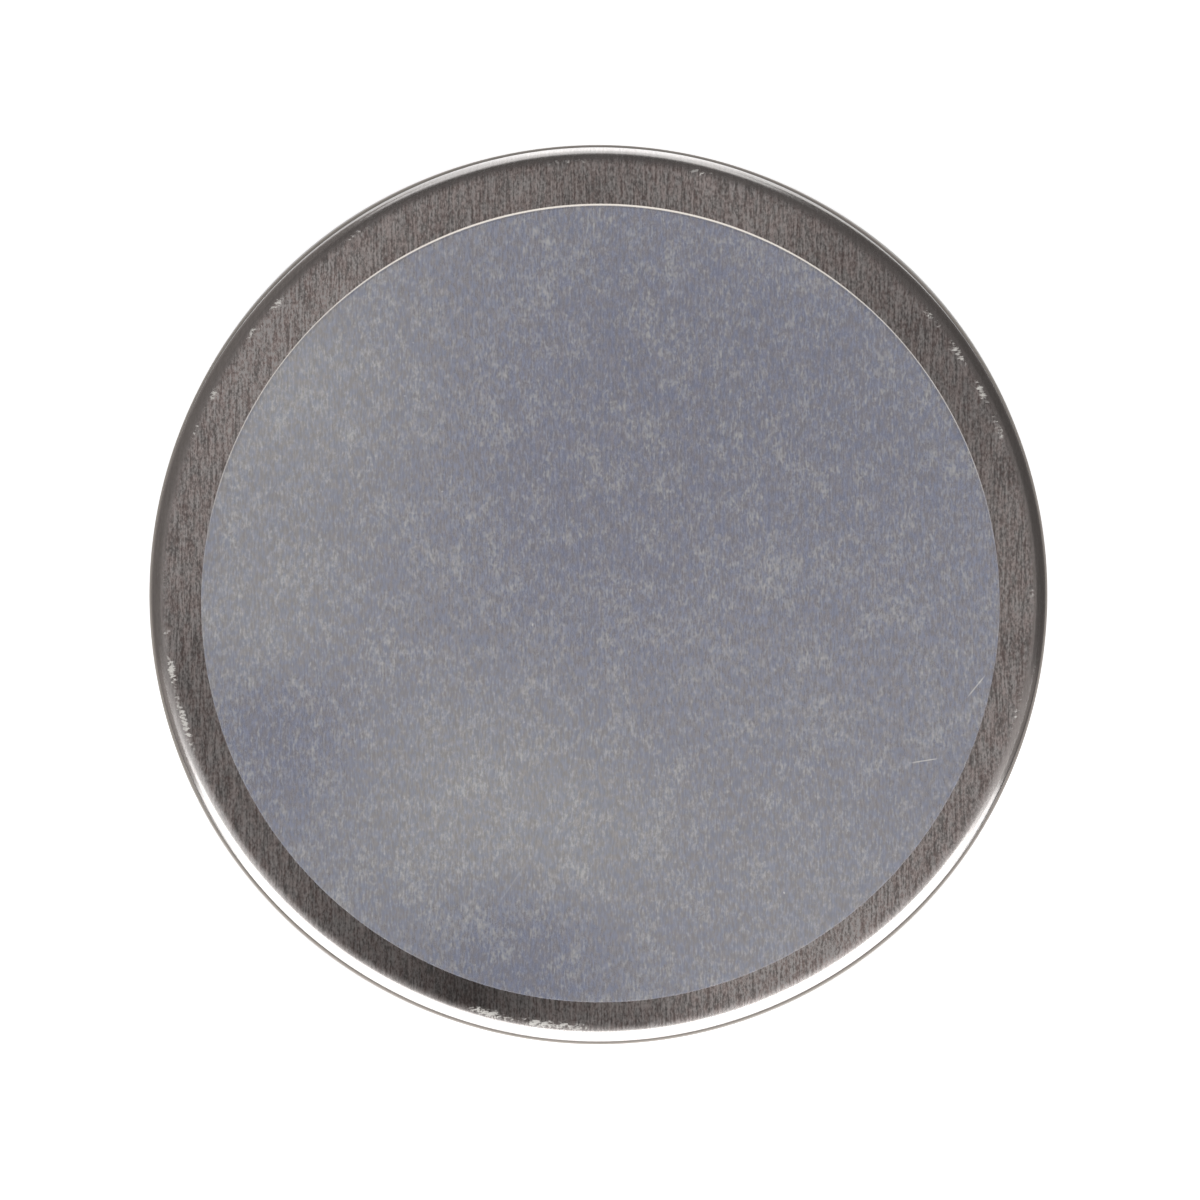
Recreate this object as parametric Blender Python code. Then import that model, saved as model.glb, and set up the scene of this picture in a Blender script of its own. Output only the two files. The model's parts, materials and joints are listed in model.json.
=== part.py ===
"""Seed grow tin: a drawn tinplate tin whose slip lid carries a clear round label.

Inside lie pressed coir pellets in their net sleeves, a folded leaflet, and a paper packet of seeds.
Metres, +Z up. The origin is at the middle of the underside, and the lid lifts straight up along Z.
"""

import math

import bmesh
import bpy
from mathutils import Matrix

MM = 0.001

# Tin: with its lid on it measures 68 x 25 mm over everything
TIN_HEIGHT = 25.0 * MM
SHEET = 0.23 * MM  # tinplate

# Lid
SKIRT_DIAMETER = 67.1 * MM
SKIRT_DEPTH = 10.0 * MM  # top of the lid to the underside of its hem
SHOULDER_RADIUS = 0.87 * MM  # inside the rounded edge of the lid
HEM_HOLLOW = 0.22 * MM  # free gap inside the hem that is folded outwards and up against the skirt
HEM_HEIGHT = 1.5 * MM  # from the underside of the hem to its cut edge
SLIDE_CLEARANCE = 0.17 * MM  # on the radius, between skirt and base
SEAT_GAP = 0.3 * MM  # between pieces that rest on each other

# Base
RIM_HOLLOW = 0.37 * MM  # across the inside of the roll that makes the mouth safe to touch
BASE_CORNER_RADIUS = 1.5 * MM  # inside the corner where wall meets underside
FOOT_WIDTH = 2.6 * MM  # flat ring that the tin stands on
PANEL_RISE = 0.8 * MM  # the middle of the underside is set up by this much
PANEL_BEND = 0.6 * MM  # radius of the two bends between foot and panel

# Label
LABEL_BORDER = 2.45 * MM  # flat metal left bare round the label, which is 60 mm across
LABEL_FILM = 0.1 * MM
ADHESIVE = 0.05 * MM
LABEL_OFF_CENTRE_X = 0.15 * MM
LABEL_OFF_CENTRE_Y = -0.65 * MM

# Coir pellets, each in a sleeve of net that is open over the seed hole
PELLET_COUNT = 3
PELLET_HEIGHT = 8.6 * MM  # over the net
PELLET_SPACING = 0.5 * MM  # free gap between neighbours
PELLET_PLAY = 1.4 * MM  # between the pellets and the mouth of the tin
NET_THICKNESS = 0.2 * MM
NET_GAP = 0.1 * MM  # between the net and the coir
NET_CORNER = 1.3 * MM
NET_MOUTH_DIAMETER = 15.0 * MM
SEED_HOLE_DIAMETER = 5.6 * MM
SEED_HOLE_DEPTH = 2.6 * MM
SEED_HOLE_CHAMFER = 0.8 * MM  # at the floor of the hole

# Room left between the mouth of the tin and the corners of the paper goods
FINGER_ROOM = 3.0 * MM

# Leaflet, one strip folded to and fro into a square
LEAFLET_PANELS = 4
LEAFLET_PAPER = 0.12 * MM
LEAFLET_SPRING = 0.22 * MM  # free gap between two panels
LEAFLET_TURN = math.radians(-9.0)

# Seed packet, one sheet folded into a flat bag with a flap
PACKET_PROPORTION = 1.3  # length to width
PACKET_PAPER = 0.15 * MM
PACKET_FOLD = 0.25 * MM  # radius of the middle of the paper at the side folds
FLAP_LENGTH = 12.0 * MM
FLAP_GAP = 0.2 * MM  # between the flap and the front
FLAP_TAPER = 0.3  # share of its width that the flap loses towards its tip
PACKET_TURN = math.radians(14.0)

# Seeds, in one layer in the packet
SEED_COUNT = 10
SEED_LENGTH = 4.2 * MM
SEED_WIDTH = 2.6 * MM
SEED_THICKNESS = 1.5 * MM
SEED_TAPER = 0.5  # share of its width that a seed loses towards its pointed end
SEED_GAP = 0.15 * MM  # under each seed
SEED_HEADROOM = 1.1 * MM  # that the front of the packet swells above the seeds
SEED_SIDE_ROOM = 6.0 * MM  # from the outermost seeds to the side folds of the packet
SEED_TURN = 1.7  # turns of a seed for each turn of its place about the middle
GOLDEN_ANGLE = math.radians(137.508)

# Facets
TIN_STEPS = 60
PELLET_STEPS = 24
PELLET_BEND_STEPS = 3
BEND_STEPS = 4
CURL_STEPS = 7
PACKET_COLUMNS = 8
PACKET_ROWS = 8
PACKET_FOLD_STEPS = 3
FLAP_ROWS = 3
SEED_SEGMENTS = 8
SEED_RINGS = 6

# Tin sizes that follow
SKIRT_MIDDLE = SKIRT_DIAMETER / 2 - SHEET / 2  # radius of the middle of the sheet
SHOULDER_BEND = SHOULDER_RADIUS + SHEET / 2
LID_FLAT = SKIRT_MIDDLE - SHOULDER_BEND  # radius of the flat top
HEM_BEND = HEM_HOLLOW / 2 + SHEET / 2
BASE_HEIGHT = TIN_HEIGHT - SHEET - SEAT_GAP
WALL_MIDDLE = SKIRT_MIDDLE - SHEET - SLIDE_CLEARANCE
BASE_CORNER_BEND = BASE_CORNER_RADIUS + SHEET / 2
RIM_BEND = RIM_HOLLOW / 2 + SHEET / 2
MOUTH_RADIUS = WALL_MIDDLE - 2 * RIM_BEND - SHEET / 2
LABEL_RADIUS = LID_FLAT - LABEL_BORDER

# Pellet sizes that follow
PELLET_BOTTOM = SHEET + PANEL_RISE + SEAT_GAP
RING_SHARE = 0.5 / math.sin(math.pi / PELLET_COUNT)  # radius of the ring for pellets that lie 1 apart
PELLET_DIAMETER = (MOUTH_RADIUS - PELLET_PLAY - PELLET_SPACING * RING_SHARE) / (RING_SHARE + 0.5)
PELLET_RING = (PELLET_DIAMETER + PELLET_SPACING) * RING_SHARE

# Paper sizes that follow
PAPER_REACH = MOUTH_RADIUS - FINGER_ROOM
LEAFLET_SIDE = PAPER_REACH * math.sqrt(2)
LEAFLET_PITCH = LEAFLET_PAPER + LEAFLET_SPRING
LEAFLET_BOTTOM = PELLET_BOTTOM + PELLET_HEIGHT + SEAT_GAP
LEAFLET_TOP = LEAFLET_BOTTOM + (LEAFLET_PANELS - 1) * LEAFLET_PITCH + LEAFLET_PAPER
PACKET_WIDTH = 2 * PAPER_REACH / math.hypot(1, PACKET_PROPORTION)
PACKET_LENGTH = PACKET_WIDTH * PACKET_PROPORTION
PACKET_BOTTOM = LEAFLET_TOP + SEAT_GAP
PACKET_REACH = PACKET_WIDTH / 2 - PACKET_FOLD - PACKET_PAPER / 2  # middle of the packet to a side fold
PACKET_CROWN = SEED_THICKNESS + SEED_HEADROOM
FLAP_LIFT = 2 * PACKET_FOLD + PACKET_PAPER + FLAP_GAP

# Seed sizes that follow
SEED_MIDDLE = PACKET_BOTTOM + PACKET_PAPER + SEED_GAP + SEED_THICKNESS / 2
SEED_REACH = PACKET_WIDTH / 2 - SEED_SIDE_ROOM - SEED_LENGTH / 2


def finish(name, colour, roughness, metallic=0.0, alpha=1.0):
    """A material of one colour."""
    material = bpy.data.materials.new(name)
    material.use_nodes = True
    shader = material.node_tree.nodes["Principled BSDF"]
    shader.inputs["Base Color"].default_value = (*colour, 1.0)
    shader.inputs["Roughness"].default_value = roughness
    shader.inputs["Metallic"].default_value = metallic
    shader.inputs["Alpha"].default_value = alpha
    material.diffuse_color = (*colour, alpha)
    return material


def arc(centre, radius, start, end, steps=BEND_STEPS):
    """Points along an arc about a centre, from the start angle to the end angle, in degrees."""
    angles = [math.radians(start + (end - start) * k / steps) for k in range(steps + 1)]
    return [(centre[0] + radius * math.cos(a), centre[1] + radius * math.sin(a)) for a in angles]


def add_line(bm, points):
    """Joins 3D points with edges, in order."""
    verts = [bm.verts.new(point) for point in points]
    for first, second in zip(verts, verts[1:]):
        bm.edges.new((first, second))


def make_object(bm, name, material, smooth_below=40.0):
    """Makes a named object, smooth except where its faces meet at more than the given angle."""
    mesh = bpy.data.meshes.new(name)
    bm.to_mesh(mesh)
    bm.free()
    mesh.shade_smooth()
    mesh.set_sharp_from_angle(angle=math.radians(smooth_below))
    mesh.materials.append(material)
    obj = bpy.data.objects.new(name, mesh)
    bpy.context.scene.collection.objects.link(obj)
    return obj


def thicken(obj, thickness):
    """Gives a sheet its thickness, half of it on each side of the middle surface."""
    solidify = obj.modifiers.new("sheet", "SOLIDIFY")
    solidify.thickness = thickness
    solidify.offset = 0.0
    solidify.use_even_offset = True


def turn(name, profile, steps, material):
    """Spins a profile of (radius, height) points a full turn about Z."""
    bm = bmesh.new()
    add_line(bm, [(radius, 0.0, height) for radius, height in profile])
    outline = bm.verts[:] + bm.edges[:]
    bmesh.ops.spin(bm, geom=outline, cent=(0, 0, 0), axis=(0, 0, 1), angle=math.tau, steps=steps)
    bmesh.ops.remove_doubles(bm, verts=bm.verts[:], dist=0.001 * MM)
    bmesh.ops.recalc_face_normals(bm, faces=bm.faces[:])
    return make_object(bm, name, material)


def make_tin_base(material):
    """A drawn cup: set-up underside, flat foot, rounded corner, plain wall and a rim rolled inwards."""
    floor = SHEET / 2
    bend_angle = math.acos(1 - PANEL_RISE / (2 * PANEL_BEND))
    degrees = math.degrees(bend_angle)
    foot_outer = WALL_MIDDLE - BASE_CORNER_BEND
    foot_inner = foot_outer - FOOT_WIDTH
    panel_edge = foot_inner - 2 * PANEL_BEND * math.sin(bend_angle)
    upper_bend = (panel_edge, floor + PANEL_RISE - PANEL_BEND)
    lower_bend = (foot_inner, floor + PANEL_BEND)
    corner = (foot_outer, floor + BASE_CORNER_BEND)
    curl = (WALL_MIDDLE - RIM_BEND, BASE_HEIGHT - SHEET / 2 - RIM_BEND)
    profile = [(0.0, floor + PANEL_RISE)]
    profile += arc(upper_bend, PANEL_BEND, 90, 90 - degrees)
    profile += arc(lower_bend, PANEL_BEND, 270 - degrees, 270)[1:]
    profile += arc(corner, BASE_CORNER_BEND, 270, 360)
    profile += arc(curl, RIM_BEND, 0, 270, CURL_STEPS)
    thicken(turn("tin_base", profile, TIN_STEPS, material), SHEET)


def make_lid(material):
    """A shallow drawn cap, its edge folded outwards and up. Its origin is on its top, on the lift axis."""
    shoulder = (LID_FLAT, -SHEET / 2 - SHOULDER_BEND)
    fold = (SKIRT_MIDDLE + HEM_BEND, HEM_BEND + SHEET / 2 - SKIRT_DEPTH)
    profile = [(0.0, -SHEET / 2)]
    profile += arc(shoulder, SHOULDER_BEND, 90, 0)
    profile += arc(fold, HEM_BEND, 180, 360)
    profile.append((SKIRT_MIDDLE + 2 * HEM_BEND, HEM_HEIGHT - SKIRT_DEPTH))
    lid = turn("lid", profile, TIN_STEPS, material)
    thicken(lid, SHEET)
    lid.location.z = TIN_HEIGHT
    return lid


def make_label(lid, material):
    """A disc of clear film, stuck on by hand and so a little off the middle of the lid."""
    profile = [(0.0, LABEL_FILM), (LABEL_RADIUS, LABEL_FILM), (LABEL_RADIUS, 0.0), (0.0, 0.0)]
    label = turn("lid_label", profile, TIN_STEPS, material)
    label.parent = lid
    label.location = (LABEL_OFF_CENTRE_X, LABEL_OFF_CENTRE_Y, ADHESIVE)


def make_tablet(name, material):
    """A pressed coir tablet with rounded edges and a hole for the seeds."""
    shell = NET_THICKNESS + NET_GAP
    radius = PELLET_DIAMETER / 2 - shell
    top = PELLET_HEIGHT - shell
    corner = NET_CORNER - shell
    hole = SEED_HOLE_DIAMETER / 2
    hole_floor = top - SEED_HOLE_DEPTH
    profile = [(0.0, hole_floor), (hole - SEED_HOLE_CHAMFER, hole_floor)]
    profile += [(hole, hole_floor + SEED_HOLE_CHAMFER), (hole, top)]
    profile += arc((radius - corner, top - corner), corner, 90, 0, PELLET_BEND_STEPS)
    profile += arc((radius - corner, shell + corner), corner, 0, -90, PELLET_BEND_STEPS)
    profile += [(0.0, shell)]
    return turn(name, profile, PELLET_STEPS, material)


def make_sleeve(name, material):
    """A cup of net drawn up round a tablet and gathered over its top edge."""
    middle = NET_THICKNESS / 2
    side = PELLET_DIAMETER / 2 - middle
    corner = NET_CORNER - middle
    profile = [(0.0, middle)]
    profile += arc((side - corner, NET_CORNER), corner, 270, 360, PELLET_BEND_STEPS)
    profile += arc((side - corner, PELLET_HEIGHT - NET_CORNER), corner, 0, 90, PELLET_BEND_STEPS)
    profile += [(NET_MOUTH_DIAMETER / 2, PELLET_HEIGHT - middle)]
    sleeve = turn(name, profile, PELLET_STEPS, material)
    thicken(sleeve, NET_THICKNESS)
    return sleeve


def make_pellets(coir, net):
    """Tablets in their sleeves, standing in a ring."""
    for k in range(PELLET_COUNT):
        angle = math.tau * (k / PELLET_COUNT + 0.25)
        place = (PELLET_RING * math.cos(angle), PELLET_RING * math.sin(angle), PELLET_BOTTOM)
        make_tablet(f"coir_pellet_{k + 1}", coir).location = place
        make_sleeve(f"pellet_net_{k + 1}", net).location = place


def make_leaflet(material):
    """A strip of paper folded to and fro, its panels joined by round folds at alternate ends."""
    fold = LEAFLET_PITCH / 2
    reach = LEAFLET_SIDE / 2 - fold - LEAFLET_PAPER / 2
    line = [(-reach, 0.0)]
    for k in range(LEAFLET_PANELS - 1):
        height = k * LEAFLET_PITCH + fold
        if k % 2 == 0:
            line += arc((reach, height), fold, -90, 90)
        else:
            line += arc((-reach, height), fold, 270, 90)
    last_end = reach if LEAFLET_PANELS % 2 else -reach
    line.append((last_end, (LEAFLET_PANELS - 1) * LEAFLET_PITCH))
    bm = bmesh.new()
    add_line(bm, [(x, -LEAFLET_SIDE / 2, z) for x, z in line])
    swept = bmesh.ops.extrude_edge_only(bm, edges=bm.edges[:])
    far_edge = [item for item in swept["geom"] if isinstance(item, bmesh.types.BMVert)]
    bmesh.ops.translate(bm, verts=far_edge, vec=(0, LEAFLET_SIDE, 0))
    bmesh.ops.recalc_face_normals(bm, faces=bm.faces[:])
    leaflet = make_object(bm, "instruction_leaflet", material)
    thicken(leaflet, LEAFLET_PAPER)
    leaflet.location.z = LEAFLET_BOTTOM + LEAFLET_PAPER / 2
    leaflet.rotation_euler.z = LEAFLET_TURN


def crown(x, y):
    """How far the front of the packet swells at x from its middle and y from its lower end."""
    across = 1 - (x / PACKET_REACH) ** 2
    along = math.sin(math.pi * min(y / PACKET_LENGTH, 1.0))
    return PACKET_CROWN * across * along


def add_bag(bm, across):
    """The bag, as rings of front, side fold, back and side fold. Returns the back's top edge."""
    left_fold = arc((-PACKET_REACH, PACKET_FOLD), PACKET_FOLD, 90, 270, PACKET_FOLD_STEPS)[1:-1]
    right_fold = arc((PACKET_REACH, PACKET_FOLD), PACKET_FOLD, -90, 90, PACKET_FOLD_STEPS)[1:-1]
    back = [(x, 0.0) for x in reversed(across)]
    rings = []
    for row in range(PACKET_ROWS + 1):
        y = PACKET_LENGTH * row / PACKET_ROWS
        front = [(x, 2 * PACKET_FOLD + crown(x, y)) for x in across]
        ring = front + left_fold + back + right_fold
        rings.append([bm.verts.new((x, y, z)) for x, z in ring])
    for lower, upper in zip(rings, rings[1:]):
        for k in range(len(lower)):
            bm.faces.new((lower[k - 1], lower[k], upper[k], upper[k - 1]))
    bm.faces.new(reversed(rings[0]))
    back_start = len(across) + len(left_fold)
    return rings[-1][back_start : back_start + len(across)]


def add_flap(bm, edge):
    """The flap, which grows from the back's top edge, turns over the mouth and lies along the front."""
    across = [vert.co.x for vert in edge]
    turn_over = arc((PACKET_LENGTH, FLAP_LIFT / 2), FLAP_LIFT / 2, -90, 90, BEND_STEPS)[1:]
    tongue = [(PACKET_LENGTH - FLAP_LENGTH * (k + 1) / FLAP_ROWS, FLAP_LIFT) for k in range(FLAP_ROWS)]
    for y, z in turn_over + tongue:
        width = 1 - FLAP_TAPER * max(0.0, (PACKET_LENGTH - y) / FLAP_LENGTH)
        row = [bm.verts.new((x * width, y, z + crown(x * width, y))) for x in across]
        for k in range(1, len(row)):
            bm.faces.new((edge[k - 1], edge[k], row[k], row[k - 1]))
        edge = row


def make_packet(material):
    """One sheet of paper folded into a bag with a flat back, a swelled front and a flap."""
    columns = range(PACKET_COLUMNS + 1)
    bm = bmesh.new()
    top_edge = add_bag(bm, [PACKET_REACH * (1 - 2 * k / PACKET_COLUMNS) for k in columns])
    add_flap(bm, top_edge)
    bmesh.ops.recalc_face_normals(bm, faces=bm.faces[:])
    packet = make_object(bm, "seed_packet", material, 60.0)
    thicken(packet, PACKET_PAPER)
    centre = Matrix.Translation((0, -PACKET_LENGTH / 2, PACKET_BOTTOM + PACKET_PAPER / 2))
    packet.matrix_world = Matrix.Rotation(PACKET_TURN, 4, "Z") @ centre


def make_seeds(material):
    """Seeds on the back sheet of the packet, spread like the florets of a flower head."""
    bm = bmesh.new()
    bmesh.ops.create_uvsphere(bm, u_segments=SEED_SEGMENTS, v_segments=SEED_RINGS, radius=0.5)
    for vert in bm.verts:
        end, side, up = vert.co.z, vert.co.x, vert.co.y
        width = SEED_WIDTH * (1 - SEED_TAPER * (end + 0.5))
        vert.co = (SEED_LENGTH * end, width * side, SEED_THICKNESS * up)
    first = make_object(bm, "seed_1", material)
    for k in range(SEED_COUNT):
        seed = first
        if k > 0:
            seed = bpy.data.objects.new(f"seed_{k + 1}", first.data)
            bpy.context.scene.collection.objects.link(seed)
        radius = SEED_REACH * math.sqrt((k + 0.5) / (SEED_COUNT - 0.5))
        angle = k * GOLDEN_ANGLE
        seed.location = (radius * math.cos(angle), radius * math.sin(angle), SEED_MIDDLE)
        seed.rotation_euler.z = SEED_TURN * angle


def main():
    for obj in list(bpy.data.objects):
        bpy.data.objects.remove(obj, do_unlink=True)

    tinplate = finish("tinplate", (0.17, 0.155, 0.15), 0.38, metallic=1.0)
    film = finish("clear_label_film", (0.23, 0.23, 0.27), 0.3, alpha=0.6)
    coir = finish("coir", (0.13, 0.06, 0.028), 0.95)
    net = finish("net", (0.55, 0.43, 0.3), 0.85)
    white_paper = finish("leaflet_paper", (0.78, 0.76, 0.7), 0.8)
    brown_paper = finish("packet_paper", (0.42, 0.27, 0.15), 0.8)
    husk = finish("seed_husk", (0.1, 0.08, 0.06), 0.6)

    make_tin_base(tinplate)
    lid = make_lid(tinplate)
    make_label(lid, film)
    make_pellets(coir, net)
    make_leaflet(white_paper)
    make_packet(brown_paper)
    make_seeds(husk)


main()
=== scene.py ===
# %% [markdown]
# # A seed grow tin, dressed for its picture
#
# The tin is a drawn tinplate cup under a slip lid, with a round label of clear film stuck on the lid. Inside
# lie three coir pellets in sleeves of net, a folded leaflet and a paper packet with seeds.
#
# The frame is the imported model: plain solids at their real size and place. Each cell below makes the fine
# surface of one piece or one finish and lets it stand for its solid. Lengths are in metres.

# %% Load the frame
import json
import math

import bpy
import numpy as np
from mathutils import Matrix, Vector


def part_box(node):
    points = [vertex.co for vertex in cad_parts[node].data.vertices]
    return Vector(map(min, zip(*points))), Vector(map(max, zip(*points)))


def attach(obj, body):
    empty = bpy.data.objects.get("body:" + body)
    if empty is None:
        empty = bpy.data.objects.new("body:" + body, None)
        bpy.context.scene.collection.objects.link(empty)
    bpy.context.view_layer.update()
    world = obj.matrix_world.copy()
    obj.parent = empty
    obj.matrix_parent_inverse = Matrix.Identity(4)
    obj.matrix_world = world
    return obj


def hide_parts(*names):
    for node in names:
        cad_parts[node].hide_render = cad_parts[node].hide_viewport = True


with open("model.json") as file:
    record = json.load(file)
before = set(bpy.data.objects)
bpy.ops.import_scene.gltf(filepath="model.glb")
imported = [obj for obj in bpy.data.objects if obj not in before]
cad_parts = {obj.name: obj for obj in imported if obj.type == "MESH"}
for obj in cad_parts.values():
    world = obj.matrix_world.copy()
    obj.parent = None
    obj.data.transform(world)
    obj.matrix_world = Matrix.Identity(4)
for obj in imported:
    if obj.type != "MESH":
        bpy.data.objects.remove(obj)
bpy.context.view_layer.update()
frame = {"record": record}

MM = 0.001

# %% [markdown]
# ## Surfaces from numbers
#
# Nearly every piece here is turned or bent from sheet. A turned piece could be made with the Screw modifier,
# but a grid of points worked out with numpy lets the same formula also carry dents, pleats and the place that
# each point had in the flat sheet, which the finishes read later.
#
# A grid is a table of points. Its faces join each point to its neighbours, and they go round to the first row
# or column again where the surface closes on itself. The volume inside tells whether the faces look outwards.

# %% Grids and meshes
def grid_faces(numbers, close_rows=False, close_columns=False):
    """Four-sided faces between the neighbours in a table of point numbers."""
    if close_rows:
        numbers = np.concatenate([numbers, numbers[:1]])
    if close_columns:
        numbers = np.concatenate([numbers, numbers[:, :1]], 1)
    corners = [numbers[:-1, :-1], numbers[1:, :-1], numbers[1:, 1:], numbers[:-1, 1:]]
    return np.stack(corners, -1).reshape(-1, 4)


def number_grid(rows, columns, start=0):
    """A table of point numbers, counted row by row."""
    return start + np.arange(rows * columns).reshape(rows, columns)


def point_table(x, y, z):
    """Points from their three coordinates, each given for every row, for every column or for both."""
    return np.stack(np.broadcast_arrays(x, y, z), -1)


def enclosed_volume(points, faces):
    """Sum of the volumes of the pyramids from the origin to the faces. It is negative if they look in."""
    first, *others = (points[corner] for corner in faces.T)
    return sum((first * np.cross(a, b)).sum() for a, b in zip(others, others[1:])) / 6


def add_object(name, data):
    """A new object in the scene."""
    made = bpy.data.objects.new(name, data)
    bpy.context.scene.collection.objects.link(made)
    return made


def make_piece(name, points, face_sets, fields=None, closed=True, crease=None):
    """A smooth mesh from points and sets of faces. Fields are vectors at its points, for a finish to read."""
    if closed and sum(enclosed_volume(points, faces) for faces in face_sets) < 0:
        face_sets = [faces[:, ::-1] for faces in face_sets]
    mesh = bpy.data.meshes.new(name)
    mesh.from_pydata(points.tolist(), [], [face for faces in face_sets for face in faces.tolist()])
    for field, values in (fields or {}).items():
        layer = mesh.attributes.new(field, "FLOAT_VECTOR", "POINT")
        layer.data.foreach_set("vector", np.ascontiguousarray(values, dtype=np.float32).ravel())
    mesh.shade_smooth()
    if crease:
        mesh.set_sharp_from_angle(angle=math.radians(crease))
    mesh.update()
    return add_object(name, mesh)


def place_piece(piece, node, material):
    """Gives a piece its finish, and lets it stand for a node of the frame and move with its body."""
    bodies = frame["record"]["behaviour"]["bodies"]
    piece.data.materials.append(material)
    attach(piece, next(body for body, nodes in bodies.items() if node in nodes))
    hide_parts(node)
    print(piece.name, "has", len(piece.data.polygons), "faces")


# %% [markdown]
# ## Uneven on purpose
#
# Nothing that is pressed, folded or glued is quite even. A sum of waves of about one length, each with its
# own heading and phase, makes a soft random field without seams, and the same seed always gives the same
# field. A light or dull spot whose place is known gets a round soft patch.

# %% Soft fields
def ripple(points, wavelength, seed, waves=24):
    """Sum of plane waves with random headings and phases at each point, scaled to a spread of 1."""
    chance = np.random.default_rng(seed)
    heading = chance.normal(size=(points.shape[-1], waves))
    heading *= math.tau / wavelength / np.linalg.norm(heading, axis=0)
    phase = chance.uniform(0, math.tau, waves)
    return np.sin(points @ heading + phase).sum(-1) * math.sqrt(2 / waves)


def patches(points, spots):
    """Sum of soft round spots, each given as (x, y, reach, strength) in millimetres.

    A spot gives strength * exp(-(d / reach) ** 2 / 2) at the distance d from its middle.
    """
    total = np.zeros(len(points))
    for x, y, reach, strength in spots:
        away = np.linalg.norm(points[:, :2] - np.array([x, y]) * MM, axis=1)
        total += strength * np.exp(-((away / (reach * MM)) ** 2) / 2)
    return total


def ease(value, low, high):
    """0 below low, 1 above high, and a smooth rise between: t * t * (3 - 2 * t)."""
    t = np.clip((value - low) / (high - low), 0, 1)
    return t * t * (3 - 2 * t)


# %% [markdown]
# ## Profiles
#
# The tin is bent from sheet, so each half of it is described by the line down the middle of the sheet, made
# of straight runs and arcs. The wall is that line moved half a thickness to each side, joined over the cut
# edge by a low half ellipse. Turned about the axis, it gives a closed body with a real thickness.

# %% Profile tools
EDGE_ROUNDING = 0.4  # height of the ellipse on a cut edge, in half thicknesses


def arc(centre, radius, start, end, count):
    """Points on a circle about a centre, from the start angle to the end angle in degrees."""
    angle = np.radians(np.linspace(start, end, count))
    return np.stack([centre[0] + radius * np.cos(angle), centre[1] + radius * np.sin(angle)], 1)


def run(start, end, count):
    """Evenly spaced points inside a straight line."""
    share = np.linspace(0, 1, count + 2)[1:-1, None]
    return np.array(start) * (1 - share) + np.array(end) * share


def join(*stretches):
    """One line through several stretches, with doubled points left out.

    A whole number stands for that many points, evenly spaced between the stretches on its two sides.
    """
    parts = [part if isinstance(part, int) else np.atleast_2d(part) for part in stretches]
    for k, part in enumerate(parts):
        if isinstance(part, int):
            parts[k] = run(parts[k - 1][-1], parts[k + 1][0], part)
    line = np.concatenate(parts)
    step = np.linalg.norm(np.diff(line, axis=0), axis=1)
    return line[np.concatenate([[True], step > 1e-9])]


def sideways(line):
    """Unit vectors along a line of points, and to the left of it."""
    along = np.gradient(line, axis=0)
    along /= np.linalg.norm(along, axis=1, keepdims=True)
    return along, np.stack([-along[:, 1], along[:, 0]], 1)


def sheet_outline(middle, thickness, edge_points=4):
    """The outline of a bent sheet, with each point's distance along the sheet and its side, 1 or -1."""
    along, left = sideways(middle)
    half = thickness / 2
    turn = np.linspace(0, math.pi, edge_points + 2)[1:-1, None]
    edge = middle[-1] + half * (left[-1] * np.cos(turn) + along[-1] * EDGE_ROUNDING * np.sin(turn))
    length = np.concatenate([[0], np.linalg.norm(np.diff(middle, axis=0), axis=1).cumsum()])
    outline = np.concatenate([middle + half * left, edge, (middle - half * left)[::-1]])
    distance = np.concatenate([length, np.full(edge_points, length[-1]), length[::-1]])
    side = np.concatenate([np.ones(len(middle)), np.zeros(edge_points), -np.ones(len(middle))])
    return outline, distance, side


def tube_faces(rows, columns):
    """Faces of a tube of points whose ends are closed by fans of triangles to the two points after it."""
    numbers = number_grid(rows, columns)
    first, last = numbers[0], numbers[-1]
    fans = [
        np.stack([np.full(columns, numbers.size), first, np.roll(first, -1)], 1),
        np.stack([np.full(columns, numbers.size + 1), np.roll(last, -1), last], 1),
    ]
    return [grid_faces(numbers, close_columns=True), np.concatenate(fans)]


def turn_outline(outline, segments):
    """Points and faces of an outline of (radius, height) turned about Z, from the axis out and back to it.

    The point at angle a is (radius cos a, radius sin a, height). Both ends lie on the axis, where a fan of
    triangles closes the surface. The last two points are those ends.
    """
    angle = np.arange(segments) * math.tau / segments
    ring = outline[1:-1]
    points = point_table(ring[:, :1] * np.cos(angle), ring[:, :1] * np.sin(angle), ring[:, 1:])
    poles = [[0, 0, outline[0, 1]], [0, 0, outline[-1, 1]]]
    return np.concatenate([points.reshape(-1, 3), poles]), tube_faces(len(ring), segments)


def per_point(values, segments):
    """Values of an outline's points, repeated for the points that turn_outline makes of it."""
    return np.concatenate([np.repeat(values[1:-1], segments), values[[0, -1]]])


def turned(points, degrees):
    """Points turned about Z."""
    cos, sin = math.cos(math.radians(degrees)), math.sin(math.radians(degrees))
    return points @ np.array([[cos, sin, 0], [-sin, cos, 0], [0, 0, 1]])


def polar(points):
    """Each point's distance from the Z axis and its angle about it."""
    return np.linalg.norm(points[:, :2], axis=1), np.arctan2(points[:, 1], points[:, 0])


def foot_of(low, high):
    """Middle of a box's lower face."""
    return (low.x + high.x) / 2, (low.y + high.y) / 2, low.z


# %% [markdown]
# ## Finishes as sums
#
# A procedural finish is arithmetic on patterns. Wiring Math nodes by hand hides the arithmetic, so a small
# class wraps a socket and lets Python's own operators add the nodes. Everything else goes through one method
# that takes a node's type, the values or links of its sockets, and its settings.

# %% Classes for shader sums
def colour(value):
    """Three numbers as a colour socket wants them. Anything else is left as it is."""
    return (*value, 1.0) if isinstance(value, tuple) and len(value) == 3 else value


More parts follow.
